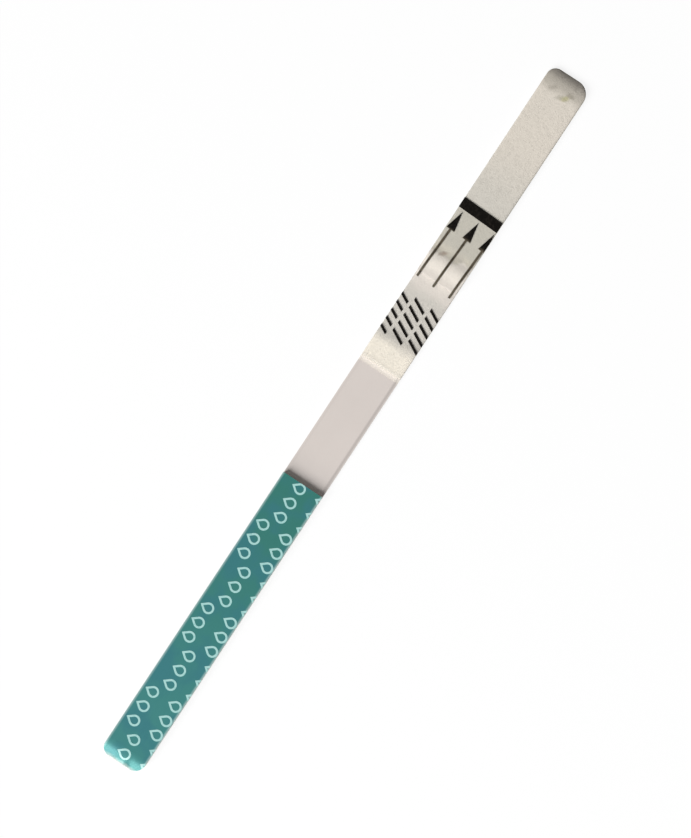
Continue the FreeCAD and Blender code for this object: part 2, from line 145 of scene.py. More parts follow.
@dataclass(frozen=True)
class Stain:
    """One soft ragged mark, along and across the strip in millimetres.

    Attributes:
        centre: Its middle.
        size: Its half length and half width.
        colour: The colour that it leaves.
        strength: How much of it covers the surface.
        turn: Its angle, in degrees.
        fray: Noise that frays its edge.
        edge: Share of its size at which it begins, and where it is full.
    """

    centre: tuple[float, float]
    size: tuple[float, float]
    colour: Colour
    strength: float
    turn: float
    fray: Pattern = Pattern(2.2, 3, reach=1)
    edge: Span = (1, 0.2)


# Node sheets


class Sheet:
    """A tree of nodes, with a short method for each kind of node in use."""

    def __init__(self, tree: bpy.types.NodeTree) -> None:
        """Start an empty sheet.

        Args:
            tree: The tree, which is cleared.
        """
        self.tree = tree
        self.tree.nodes.clear()

    def node(self, kind: str, setting: dict[str, str] | None = None, **inputs: object) -> bpy.types.Node:
        """Add a node.

        Args:
            kind: Blender's name of the node type.
            setting: Properties of the node itself.
            **inputs: Values or sockets for its inputs, by name with _ for each space.

        Returns:
            The new node.
        """
        made = self.tree.nodes.new(kind)
        for key, value in (setting or {}).items():
            setattr(made, key, value)
        for key, value in inputs.items():
            self.feed(made.inputs[key.replace("_", " ")], value)
        return made

    def feed(self, socket: Socket, value: object) -> None:
        """Link a socket to another one, or set its value.

        Args:
            socket: The input.
            value: A socket, a number, a vector or a colour.
        """
        if isinstance(value, Socket):
            self.tree.links.new(value, socket)
        elif socket.type == "RGBA" and len(value) == 3:
            socket.default_value = (*value, 1)
        else:
            socket.default_value = value

    def math(self, operation: str, first: Value, second: Value = 0.0) -> Socket:
        """Reckon with one or two values.

        Args:
            operation: Blender's name of the sum, such as MULTIPLY.
            first: The first value.
            second: The second value, where the sum takes two.

        Returns:
            Socket of the result.
        """
        made = self.node("ShaderNodeMath", {"operation": operation})
        self.feed(made.inputs[0], first)
        self.feed(made.inputs[1], second)
        return made.outputs["Value"]

    def seen(self) -> Socket:
        """Tell what the camera sees, mirrored or through glass too, from what only lights the strip.

        Returns:
            Socket that is 1 for what is seen.
        """
        path = self.node("ShaderNodeLightPath").outputs
        mirrored = self.math("MAXIMUM", path["Is Camera Ray"], path["Is Glossy Ray"])
        return self.math("MAXIMUM", mirrored, path["Is Transmission Ray"])

    def close(self, kind: str, share: Value, first: Socket, second: Socket) -> None:
        """Close the sheet with two shaders.

        Args:
            kind: Blender's name of the output's type.
            share: How much of the second shader there is.
            first: First shader.
            second: Second shader.
        """
        both = self.node("ShaderNodeMixShader")
        for socket, value in zip(both.inputs, (share, first, second)):
            self.feed(socket, value)
        self.node(kind, Surface=both.outputs["Shader"])


class SurfaceSheet(Sheet):
    """A material's sheet.

    Patterns read places on the strip in millimetres: along it from the handle end, across it from
    the middle, and up from the bench.
    """

    def __init__(self, name: str) -> None:
        """Start an empty sheet.

        Args:
            name: Name of the material.
        """
        self.material = bpy.data.materials.new(name)
        self.material.use_nodes = True
        super().__init__(self.material.node_tree)
        handle_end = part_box("backing_card")[0].x
        coordinates = self.node("ShaderNodeTexCoord")
        self.place = self.mapped(
            coordinates.outputs["Object"],
            shift=(-handle_end / MM, 0, 0),
            stretch=(1 / MM, 1 / MM, 1 / MM),
        )
        apart = self.node("ShaderNodeSeparateXYZ", Vector=self.place)
        self.along = apart.outputs["X"]
        self.across = apart.outputs["Y"]
        self.up = apart.outputs["Z"]

    def mapped(
        self,
        vector: Socket,
        shift: Iterable[float] = (0, 0, 0),
        turn: float = 0,
        stretch: Iterable[float] = (1, 1, 1),
    ) -> Socket:
        """Stretch, turn and shift places, in that order.

        Args:
            vector: The places.
            shift: What is added at the end.
            turn: Angle about Z, in radians.
            stretch: Factors, which come first.

        Returns:
            Socket of the new places.
        """
        mapping = self.node("ShaderNodeMapping", Vector=vector)
        mapping.inputs["Location"].default_value = tuple(shift)
        mapping.inputs["Rotation"].default_value = (0, 0, turn)
        mapping.inputs["Scale"].default_value = tuple(stretch)
        return mapping.outputs["Vector"]

    def between(self, value: Value, ends: Span) -> Socket:
        """Turn a value from 0 to 1 into one between two ends.

        Args:
            value: The value.
            ends: What 0 and 1 turn into.

        Returns:
            Socket of the result.
        """
        made = self.node("ShaderNodeMath", {"operation": "MULTIPLY_ADD"})
        for socket, number in zip(made.inputs, (value, ends[1] - ends[0], ends[0])):
            self.feed(socket, number)
        return made.outputs["Value"]

    def rise(self, value: Value, span: Span) -> Socket:
        """A smooth rise over a span, or a fall where its end is the lower one.

        Args:
            value: What it follows.
            span: Where it is 0, and where it is 1.

        Returns:
            Socket of the rise.
        """
        made = self.node(
            "ShaderNodeMapRange",
            {"interpolation_type": "SMOOTHSTEP"},
            Value=value,
            From_Min=span[0],
            From_Max=span[1],
        )
        return made.outputs["Result"]

    def noise(self, pattern: Pattern) -> Socket:
        """Lay a pattern over the strip.

        Args:
            pattern: The pattern.

        Returns:
            Socket of its noise, from 0 to 1.
        """
        shift = (pattern.seed, pattern.seed, pattern.seed)
        turned = self.mapped(self.place, shift=shift, turn=math.radians(pattern.turn))
        made = self.node(
            "ShaderNodeTexNoise",
            Vector=self.mapped(turned, stretch=pattern.stretch),
            Scale=pattern.scale,
            Detail=pattern.detail,
        )
        return made.outputs["Fac"]

    def strayed(self, value: Value, pattern: Pattern) -> Socket:
        """Let a value stray by a pattern.

        Args:
            value: The value.
            pattern: The pattern.

        Returns:
            Socket of the strayed value.
        """
        centred = self.math("SUBTRACT", self.noise(pattern), 0.5)
        return self.math("ADD", value, self.math("MULTIPLY", centred, pattern.reach))

    def spot(self, stain: Stain, seed: float) -> Socket:
        """Find where a stain is.

        Args:
            stain: The stain.
            seed: Shift that gives its edge a pattern of its own.

        Returns:
            Socket that is 1 in its middle and 0 outside.
        """
        x, y = stain.centre
        length, width = stain.size
        level = self.mapped(self.mapped(self.place, shift=(-x, -y, 0)), turn=-math.radians(stain.turn))
        shaped = self.mapped(level, stretch=(1 / length, 1 / width, 0))
        reach = self.node("ShaderNodeVectorMath", {"operation": "LENGTH"}, Vector=shaped)
        frayed = self.strayed(reach.outputs["Value"], replace(stain.fray, seed=seed))
        return self.rise(frayed, stain.edge)

    def mix(self, share: Value, first: object, second: object, way: str = "MIX") -> Socket:
        """Mix two colours.

        Args:
            share: How much of the second goes in.
            first: First colour or socket.
            second: Second colour or socket.
            way: Blender's name of the way of mixing.

        Returns:
            Socket of the mixed colour.
        """
        made = self.node("ShaderNodeMix", {"data_type": "RGBA", "blend_type": way})
        sockets = [s for s in made.inputs if s.enabled]
        self.feed(sockets[0], share)
        self.feed(sockets[1], first)
        self.feed(sockets[2], second)
        return next(s for s in made.outputs if s.enabled)

    def toned(self, value: Value, colour: object, tone: Tone) -> Socket:
        """Go over from a colour to a tone.

        Args:
            value: What the tone's span is measured in.
            colour: The colour or its socket.
            tone: The tone.

        Returns:
            Socket of the new colour.
        """
        amount = self.rise(value, tone.span)
        if tone.share < 1:
            amount = self.math("MULTIPLY", amount, tone.share)
        return self.mix(amount, colour, tone.colour)

    def shaded(self, colour: object, value: Value, depth: float) -> Socket:
        """Lighten and darken a colour by a noise about one half.

        Args:
            colour: The colour or its socket.
            value: Noise from 0 to 1.
            depth: Change from one end of the noise to the other, as a share of the colour.

        Returns:
            Socket of the shaded colour.
        """
        factor = self.between(value, (1 - depth / 2, 1 + depth / 2))
        grey = self.node("ShaderNodeCombineXYZ", X=factor, Y=factor, Z=factor).outputs["Vector"]
        return self.mix(1.0, colour, grey, "MULTIPLY")

    def bump(self, height: Value, depth: float, below: Socket | None = None) -> Socket:
        """Raise a relief.

        Args:
            height: Its height from 0 to 1.
            depth: Real height of the relief, in millimetres.
            below: Normal of a relief under it.

        Returns:
            Socket of the normal.
        """
        made = self.node("ShaderNodeBump", Height=height, Strength=1.0, Distance=depth * MM)
        if below is not None:
            self.feed(made.inputs["Normal"], below)
        return made.outputs["Normal"]

    def finish(self, **inputs: object) -> bpy.types.Material:
        """Close the sheet with one Principled shader.

        Args:
            **inputs: Its inputs, by name with _ for each space.

        Returns:
            The material.
        """
        shader = self.node("ShaderNodeBsdfPrincipled", **inputs)
        self.node("ShaderNodeOutputMaterial", Surface=shader.outputs["BSDF"])
        return self.material


# Finishes


@dataclass(frozen=True)
class Finish(ABC):
    """What a surface looks like, at the scale of the real thing.

    Lengths are in millimetres: places along the strip from its handle end, across it from its middle
    and up from the bench.

    Attributes:
        name: Name of its material.
        slot: The record's material slot that it stands for. It is not used.
    """

    name: str
    slot: str

    @abstractmethod
    def material(self) -> bpy.types.Material:
        """Make the material."""


@dataclass(frozen=True)
class FibreFinish(Finish):
    """Loose mat of fibres that lie every way in its plane.

    Attributes:
        colour: The mat's own colour.
        ways: Angles at which the strands lie, in degrees.
        strands: Noise whose middle heights are the strands.
        strand_span: Distance from those heights at which a strand begins, and where it is full.
        strand_seeds: Step from one way's seed to the next.
        clouds: Thick and thin places.
    """

    colour: Colour
    ways: tuple[float, ...] = (8, 67, 118, 156)
    strands: Pattern = Pattern(5.0, 1, stretch=(0.14, 1, 1), shade=0.035, height=0.014)
    strand_span: Span = (0.09, 0)
    strand_seeds: float = 11.3
    clouds: Pattern = Pattern(0.9, 3, 4.2, shade=0.04, height=0.014)

    def tint(self, sheet: SurfaceSheet) -> object:
        """Colour of the mat before its shading. A pad with stains adds them here."""
        return self.colour

    def strand_relief(self, sheet: SurfaceSheet) -> Socket:
        """Thin bright ridges that cross each other, one set for each way of the strands.

        Args:
            sheet: The material's sheet.

        Returns:
            Socket of their height, from 0 to 1.
        """
        top = None
        for index, way in enumerate(self.ways):
            lines = sheet.noise(replace(self.strands, turn=way, seed=self.strand_seeds * index))
            beside = sheet.math("ABSOLUTE", sheet.math("SUBTRACT", lines, 0.5))
            ridge = sheet.rise(beside, self.strand_span)
            top = ridge if top is None else sheet.math("MAXIMUM", top, ridge)
        return top

    def material(self) -> bpy.types.Material:
        """Make the material.

        Returns:
            The material.
        """
        sheet = SurfaceSheet(self.name)
        strands = self.strand_relief(sheet)
        clouds = sheet.noise(self.clouds)
        colour = sheet.shaded(self.tint(sheet), clouds, self.clouds.shade)
        relief = sheet.bump(clouds, self.clouds.height)
        return sheet.finish(
            Base_Color=sheet.shaded(colour, strands, self.strands.shade),
            Roughness=0.95,
            Specular_IOR_Level=0.15,
            Normal=sheet.bump(strands, self.strands.height, relief),
        )


@dataclass(frozen=True)
class ConjugateFinish(FibreFinish):
    """Glass fibre whose middle holds a dried grey reagent.

    Attributes:
        cut: Painted shade at the cut end under the film's foot, over the climb that faces the lamp.
        reagent: Where the reagent has dried.
        rinsed: Beyond the reagent.
        front: Noise of the reagent's ends.
    """

    cut: Tone = Tone(srgb(196, 189, 177), (61.95, 61.15))
    reagent: Tone = Tone(srgb(212, 207, 198), (63.4, 65.5))
    rinsed: Tone = Tone(srgb(228, 220, 211), (71.3, 73.1))
    front: Pattern = Pattern(0.5, 2, 7.7, reach=1.2)

    def tint(self, sheet: SurfaceSheet) -> object:
        """Cream at both ends, grey in between, with an uneven front and painted shade at the cut end.

        Args:
            sheet: The material's sheet.

        Returns:
            Socket of the colour.
        """
        front = sheet.strayed(sheet.along, self.front)
        # Painted shade over the climb at the cut end, which faces the lamp.
        colour = sheet.toned(sheet.along, self.colour, self.cut)
        return sheet.toned(front, sheet.toned(front, colour, self.reagent), self.rinsed)


@dataclass(frozen=True)
class SamplePadFinish(FibreFinish):
    """Wick of the dip end, with soiling and painted shade where it was pinched, painted light and shade
    about its lap, and a few smudges.

    Attributes:
        lap: Colour where the pad laps the ply below, lighter by painted light of the lamp.
        lap_end: Where that ends.
        lag: How much further it goes at the strip's -Y edge.
        lag_span: Where it begins to, across the strip, and where it goes furthest.
        cut: Painted shade at the cut end under the film, over the climb that faces the lamp.
        painted_crease_light: Painted light where the pad sinks behind the ply below, over the shade of that
            slope.
        taped: Under the rest of the film.
        film_end: Where the film ends.
        far: Towards the pinch, where the pad is a little lighter.
        soil_and_painted_shade: The pinched fibres: soiling, and painted shade of the pinch, which turns
            from the lamp.
        edge: The last of them, darker still by soiling and painted shade.
        front: Noise of the ends of these fields.
        stain_seeds: Step from one stain's seed to the next.
        stains: Smudges.
    """

    lap: Colour = srgb(247, 239, 228)
    lap_end: Span = (77.2, 77.8)
    lag: float = 0.7
    lag_span: Span = (-0.7, -1.7)
    cut: Tone = Tone(srgb(198, 190, 181), (76.2, 74.2))
    painted_crease_light: Colour = srgb(216, 209, 193)
    taped: Tone = Tone(srgb(199, 194, 181), (78.4, 79.4))
    film_end: Span = (85.4, 85.6)
    far: Tone = Tone(srgb(223, 215, 203), (85.5, 96.0))
    soil_and_painted_shade: Tone = Tone(srgb(199, 192, 180), (102.4, 103.9))
    edge: Tone = Tone(srgb(151, 145, 137), (104.4, 105.9))
    front: Pattern = Pattern(0.9, 3, 2.9, reach=1.1)
    stain_seeds: float = 3.1
    stains: tuple[Stain, ...] = (
        Stain((77.8, 1.28), (0.85, 0.42), srgb(168, 145, 128), 0.7, -45),
        Stain((78.5, -0.95), (0.95, 0.6), srgb(180, 174, 164), 0.35, 25),
        Stain((103.05, -0.8), (0.9, 0.55), srgb(184, 179, 138), 0.8, -57),
        Stain((103.7, -1.3), (0.9, 0.45), srgb(156, 149, 134), 0.6, -80),
        Stain((103.5, 1.3), (0.95, 0.45), srgb(162, 155, 143), 0.5, -57),
        Stain((102.75, -0.05), (0.85, 0.5), srgb(166, 161, 146), 0.5, -60),
    )

    def tint(self, sheet: SurfaceSheet) -> object:
        """The pad's colour with its lighter end, painted light and shade about its lap, soiling and painted
        shade on its pinch, and its smudges.

        Args:
            sheet: The material's sheet.

        Returns:
            Socket of the colour.
        """
        reached = sheet.strayed(sheet.along, self.front)
        lag = sheet.math("MULTIPLY", sheet.rise(sheet.across, self.lag_span), self.lag)
        lap_front = sheet.rise(sheet.math("SUBTRACT", reached, lag), self.lap_end)
        # Painted shade over the climb at the cut end, then painted light on the lap.
        colour = sheet.toned(sheet.along, self.lap, self.cut)
        # Painted light where the pad sinks behind the ply below.
        colour = sheet.mix(lap_front, colour, sheet.toned(sheet.along, self.painted_crease_light, self.taped))
        colour = sheet.mix(sheet.rise(sheet.along, self.film_end), colour, self.colour)
        colour = sheet.toned(sheet.along, colour, self.far)
        # Soiling and painted shade over the pinch.
        colour = sheet.toned(reached, sheet.toned(reached, colour, self.soil_and_painted_shade), self.edge)
        for index, stain in enumerate(self.stains):
            spot = sheet.spot(stain, self.stain_seeds * index)
            cover = sheet.math("MULTIPLY", spot, stain.strength)
            colour = sheet.mix(cover, colour, stain.colour)
        return colour


@dataclass(frozen=True)
class MembraneFinish(Finish):
    """Cast nitrocellulose: matte, with a fine grain and faint casting streaks.

    Attributes:
        colour: The bare membrane.
        painted_tape_shadow: Painted shadow beside the handle tape's front edge, which lengthens the shadow
            that the tape casts.
        painted_film_edge_light: Painted highlight under the film's front edge, which lightens the membrane
            from where the film starts.
        grain: Its grain.
        streaks: Casting streaks.
        clouds: Lighter and darker places.
        slit: Distance from the middle where the slit edges end, and where they are level.
        slit_drop: How far they slope down.
    """

    colour: Colour = srgb(215, 206, 200)
    painted_tape_shadow: Tone = Tone(srgb(188, 182, 178), (48.0, 43.0), 0.45)
    painted_film_edge_light: Tone = Tone(srgb(236, 227, 217), (60.44, 60.62))
    grain: Pattern = Pattern(18.0, height=0.003)
    streaks: Pattern = Pattern(0.7, 2, 5.5, (0.08, 1, 1), shade=0.03, height=0.004)
    clouds: Pattern = Pattern(0.25, 2, 1.7, shade=0.05)
    slit: Span = (3.0, 2.45)
    slit_drop: float = 0.21

    def material(self) -> bpy.types.Material:
        """Make the material.

        Returns:
            The material.
        """
        sheet = SurfaceSheet(self.name)
        streaks = sheet.noise(self.streaks)
        # Painted shadow beside the handle tape's front edge.
        colour = sheet.toned(sheet.along, self.colour, self.painted_tape_shadow)
        # Painted highlight under the film's front edge.
        colour = sheet.toned(sheet.along, colour, self.painted_film_edge_light)
        colour = sheet.shaded(colour, sheet.noise(self.clouds), self.clouds.shade)
        level = sheet.rise(sheet.math("ABSOLUTE", sheet.across), self.slit)
        relief = sheet.bump(level, self.slit_drop, sheet.bump(streaks, self.streaks.height))
        return sheet.finish(
            Base_Color=sheet.shaded(colour, streaks, self.streaks.shade),
            Roughness=0.85,
            Specular_IOR_Level=0.25,
            Normal=sheet.bump(sheet.noise(self.grain), self.grain.height, relief),
        )


@dataclass(frozen=True)
class CardFinish(Finish):
    """White plastic card whose upper face carries the adhesive.

    Attributes:
        colour: The card.
        adhesive: The adhesive, which shows as a line at the cut edge. Its span is one of heights.
        rollers: Marks of the rollers.
        clouds: Lighter and darker places.
        scuffs: Scuffs.
        scuff_span: Height of their noise where a scuff begins, and where it is full.
        roughness: Its roughness, without scuffs and in one.
    """

    colour: Colour = srgb(238, 236, 231)
    adhesive: Tone = Tone(srgb(222, 214, 192), (0.245, 0.265))
    rollers: Pattern = Pattern(1.4, 3, stretch=(0.05, 1, 1), shade=0.03, height=0.003)
    clouds: Pattern = Pattern(0.12, 3, 8.1, shade=0.05)
    scuffs: Pattern = Pattern(2.5, 4, 3.3, (1, 0.25, 1), 14, height=0.002)
    scuff_span: Span = (0.5, 0.72)
    roughness: Span = (0.4, 0.56)

    def material(self) -> bpy.types.Material:
        """Make the material.

        Returns:
            The material.
        """
        sheet = SurfaceSheet(self.name)
        rollers = sheet.noise(self.rollers)
        scuffs = sheet.rise(sheet.noise(self.scuffs), self.scuff_span)
        colour = sheet.shaded(self.colour, sheet.noise(self.clouds), self.clouds.shade)
        colour = sheet.toned(sheet.up, colour, self.adhesive)
        relief = sheet.bump(scuffs, self.scuffs.height)
        return sheet.finish(
            Base_Color=sheet.shaded(colour, rollers, self.rollers.shade),
            Roughness=sheet.between(scuffs, self.roughness),
            Normal=sheet.bump(rollers, self.rollers.height, relief),
        )


@dataclass(frozen=True)
class HandleTapeFinish(Finish):
    """Glossy teal tape over a fibrous wick, which shows through as gentle waves.

    Attributes:
        colour: Colour at the handle's end, lighter by a painted sheen.
        front: Towards the window, where the painted sheen has faded.
        blotches: Lighter and darker places.
        blue: The bluer ones. Its span is one of their noise.
        pale_end: Paler colour at the handle's very end.
        pale_end_fray: Noise of where that ends.
        edge: The slit edges. Its span starts from the middle.
        crown: How the roll at the handle's end rises along the strip.
        crown_sides: How it rises towards the middle.
        crown_height: Its height.
        waves: Waves of the wick below.
        scratches: Scratches.
        scratch_span: Height of their noise where a scratch begins, and where it is full.
        roughness: Its roughness, without scratches and in one.
        mirror_tint: Tint of what the tape mirrors.
    """

    colour: Colour = srgb(60, 122, 120)
    front: Tone = Tone(srgb(50, 111, 102), (3.0, 43.0))
    blotches: Pattern = Pattern(0.28, 2, 6.6, shade=0.08)
    blue: Tone = Tone(srgb(51, 108, 118), (0.4, 0.65), 0.7)
    pale_end: Tone = Tone(srgb(158, 177, 173), (0.55, 0.05), 0.9)
    pale_end_fray: Pattern = Pattern(1.4, 3, 3.9, reach=0.5)
    edge: Tone = Tone(srgb(165, 190, 188), (2.65, 3.0), 0.75)
    crown: Span = (1.8, -0.3)
    crown_sides: Span = (1.5, 0.3)
    crown_height: float = 0.22
    waves: Pattern = Pattern(0.55, 2, 9.4, height=0.012)
    scratches: Pattern = Pattern(6.0, 3, 2.2, (0.06, 1, 1), -8, height=0.0003)
    scratch_span: Span = (0.45, 0.7)
    roughness: Span = (0.3, 0.38)
    mirror_tint: Colour = (0.42, 1.0, 0.95)

    def material(self) -> bpy.types.Material:
        """Make the material.

        Returns:
            The material.
        """
        sheet = SurfaceSheet(self.name)
        blotches = sheet.noise(self.blotches)
        scratches = sheet.noise(self.scratches)
        distance = sheet.math("ABSOLUTE", sheet.across)
        # Painted sheen: lighter at the handle's end, darker towards the window.
        colour = sheet.toned(sheet.along, self.colour, self.front)
        colour = sheet.toned(blotches, colour, self.blue)
        # Paler towards the handle's very end.
        colour = sheet.toned(sheet.strayed(sheet.along, self.pale_end_fray), colour, self.pale_end)
        colour = sheet.toned(distance, colour, self.edge)
        crown = sheet.math(
            "MULTIPLY", sheet.rise(sheet.along, self.crown), sheet.rise(distance, self.crown_sides)
        )
        relief = sheet.bump(sheet.noise(self.waves), self.waves.height)
        relief = sheet.bump(crown, self.crown_height, relief)
        return sheet.finish(
            Base_Color=sheet.shaded(colour, blotches, self.blotches.shade),
            Roughness=sheet.between(sheet.rise(scratches, self.scratch_span), self.roughness),
            Specular_Tint=self.mirror_tint,
            Normal=sheet.bump(scratches, self.scratches.height, relief),
        )


@dataclass(frozen=True)
class ClearFilmFinish(Finish):
    """Clear film with a faint haze.

    Attributes:
        haze: Colour of the haze.
        cover: How much of what is below it hides.
        waves: Its waves.
        rubs: Rubbed places.
        roughness: Its roughness, from the least rubbed places to the most.
    """

    haze: Colour = srgb(238, 236, 232)
    cover: float = 0.06
    waves: Pattern = Pattern(0.6, 2, 1.9, height=0.01)
    rubs: Pattern = Pattern(2.8, 3, 7.0, (0.15, 1, 1), 20)
    roughness: Span = (0.1, 0.22)

    def material(self) -> bpy.types.Material:
        """Make the material.

        Returns:
            The material.
        """
        sheet = SurfaceSheet(self.name)
        return sheet.finish(
            Base_Color=self.haze,
            Roughness=sheet.between(sheet.noise(self.rubs), self.roughness),
            Alpha=self.cover,
            Normal=sheet.bump(sheet.noise(self.waves), self.waves.height),
        )


@dataclass(frozen=True)
class InkFinish(Finish):
    """Thin printed ink, a little uneven where it was laid.

    Attributes:
        colour: The full ink.
        thin: Where less of it was laid. Its span is one of the coat's noise.
        roughness: Its roughness.
        shine: How strongly it mirrors, where 0.5 is a plain plastic.
        coat: Thick and thin places.
        pores: Its pores.
    """

    colour: Colour
    thin: Tone
    roughness: float = 0.5
    shine: float = 0.05
    coat: Pattern = Pattern(3.2, 3, 12.1)
    pores: Pattern = Pattern(14.0, 2, 0.8, height=0.003)

    def laid(self, sheet: SurfaceSheet) -> object:
        """Colour of the ink before its thin places. An ink that wears along its length adds that here."""
        return self.colour

    def material(self) -> bpy.types.Material:
        """Make the material.

        Returns:
            The material.
        """
        sheet = SurfaceSheet(self.name)
        return sheet.finish(
            Base_Color=sheet.toned(sheet.noise(self.coat), self.laid(sheet), self.thin),
            Roughness=self.roughness,
            Specular_IOR_Level=self.shine,
            Normal=sheet.bump(sheet.noise(self.pores), self.pores.height),
        )


@dataclass(frozen=True)
class ArrowInkFinish(InkFinish):
    """Ink of the arrows, which is full in their heads and thin and brown along their lines.

    Attributes:
        tail: Colour at the tails, where the ink fades.
        line: Along the lines.
        heads: Where the lines meet the heads.
    """

    tail: Colour = srgb(88, 82, 70)
    line: Tone = Tone(srgb(92, 84, 71), (73.4, 76.0))
    heads: Span = (80.7, 81.2)

    def laid(self, sheet: SurfaceSheet) -> object:
        """Fading tails, brown lines and full heads."""
        line = sheet.toned(sheet.along, self.tail, self.line)
        return sheet.mix(sheet.rise(sheet.along, self.heads), line, self.colour)


# Pads


class Bend(Enum):
    """How a pad's upper line goes from one height to another."""

    BOTH_LEVEL = "an S of two equal arcs, level at both ends"
    ENDS_LEVEL = "one arc that ends level"
    STARTS_LEVEL = "one arc that starts level"


@dataclass(frozen=True)
class Slope:
    """One change of height of a pad's upper line, in millimetres.

    Attributes:
        start: Where it starts.
        end: Where it ends.
        low: Height at the start.
        high: Height at the end.
        bend: Its form.
    """

    start: float
    end: float
    low: float
    high: float
    bend: Bend

    def height(self, x: float) -> float:
        """Height of the line.

        Args:
            x: Place between its start and its end.

        Returns:
            The height there.
        """
        if self.bend is Bend.BOTH_LEVEL:
            middle = (self.start + self.end) / 2
            mean = (self.low + self.high) / 2
            if x < middle:
                return self.low + arc_drop(x - self.start, middle - self.start, mean - self.low)
            return self.high - arc_drop(self.end - x, self.end - middle, self.high - mean)
        run = self.end - self.start
        if self.bend is Bend.ENDS_LEVEL:
            return self.high - arc_drop(self.end - x, run, self.high - self.low)
        return self.low + arc_drop(x - self.start, run, self.high - self.low)


def arc_drop(distance: float, run: float, change: float) -> float:
    """How far an arc has left the level at a distance from its level end.

    Args:
        distance: Distance along the level from that end.
        run: The arc's whole length along the level.
        change: Its whole change of height.

    Returns:
        The change of height so far, with its sign.
    """
    radius = (run**2 + change**2) / (2 * abs(change))
    return math.copysign(radius - math.sqrt(radius**2 - distance**2), change)


class Part(Enum):
    """What an operator acts on in edit mode."""

    VERTICES = "VERT"
    EDGES = "EDGE"


class Workpiece:
    """A mesh on the bench, modelled in millimetres by Blender's operators.

    Attributes:
        low: Lowest corner of the block that it started as.
        high: Highest corner of that block.
        object: The mesh's object.
    """

    def __init__(self, name: str, low: Vector, high: Vector) -> None:
        """Start from a block.

        Args:
            name: Name of the piece.
            low: Its lowest corner.
            high: Its highest corner.
        """
        self.low = low
        self.high = high
        bpy.ops.object.select_all(action="DESELECT")
        bpy.ops.mesh.primitive_cube_add(size=1, location=(low + high) / 2, scale=high - low)
        self.object = bpy.context.object
        self.object.name = name
        self.object.data.name = name
        bpy.ops.object.transform_apply(location=True, rotation=True, scale=True)

    def edit(self) -> None:
        """Open the mesh for the operators."""
        bpy.ops.object.mode_set(mode="EDIT")

    def close(self) -> None:
        """Leave edit mode."""
        bpy.ops.object.mode_set(mode="OBJECT")

    def select(self, part: Part, wanted: Callable[[MeshItem], bool]) -> None:
        """Select some of the mesh, and nothing else.

        Args:
            part: Vertices or edges.
            wanted: Test that a vertex or edge has to pass.
        """
        bpy.ops.mesh.select_mode(type=part.value)
        bpy.ops.mesh.select_all(action="DESELECT")
        mesh = bmesh.from_edit_mesh(self.object.data)
        for item in mesh.verts if part is Part.VERTICES else mesh.edges:
            item.select_set(wanted(item))
        bmesh.update_edit_mesh(self.object.data)

    def stations(self, middle: float) -> dict[tuple[float, bool], set[int]]:
        """Group the vertices by their place along X and the face that they are on.

        Args:
            middle: Height that parts the upper face from the lower one.

        Returns:
            Indices of the vertices for each place, with True for the upper face.
        """
        groups: dict[tuple[float, bool], set[int]] = {}
        for vertex in bmesh.from_edit_mesh(self.object.data).verts:
            place = round(vertex.co.x, 3), vertex.co.z > middle
            groups.setdefault(place, set()).add(vertex.index)
        return groups

    def shift(self, wanted: set[int], height: float) -> None:
        """Move some vertices up.

        Args:
            wanted: Their indices.
            height: How far.
        """
        self.select(Part.VERTICES, lambda vertex: vertex.index in wanted)
        bpy.ops.transform.translate(value=(0, 0, height))

    def modify(self, kind: str, **settings: object) -> None:
        """Add a modifier and apply it.

        Args:
            kind: Blender's name of the modifier.
            **settings: Its settings.
        """
        modifier = self.object.modifiers.new(kind.title(), kind)
        for key, value in settings.items():
            setattr(modifier, key, value)
        bpy.ops.object.modifier_apply(modifier=modifier.name)

    def to_metres(self) -> bpy.types.Object:
        """Bring the finished mesh to metres and give it back."""
        self.object.data.transform(Matrix.Scale(MM, 4))
        self.object.data.update()
        return self.object


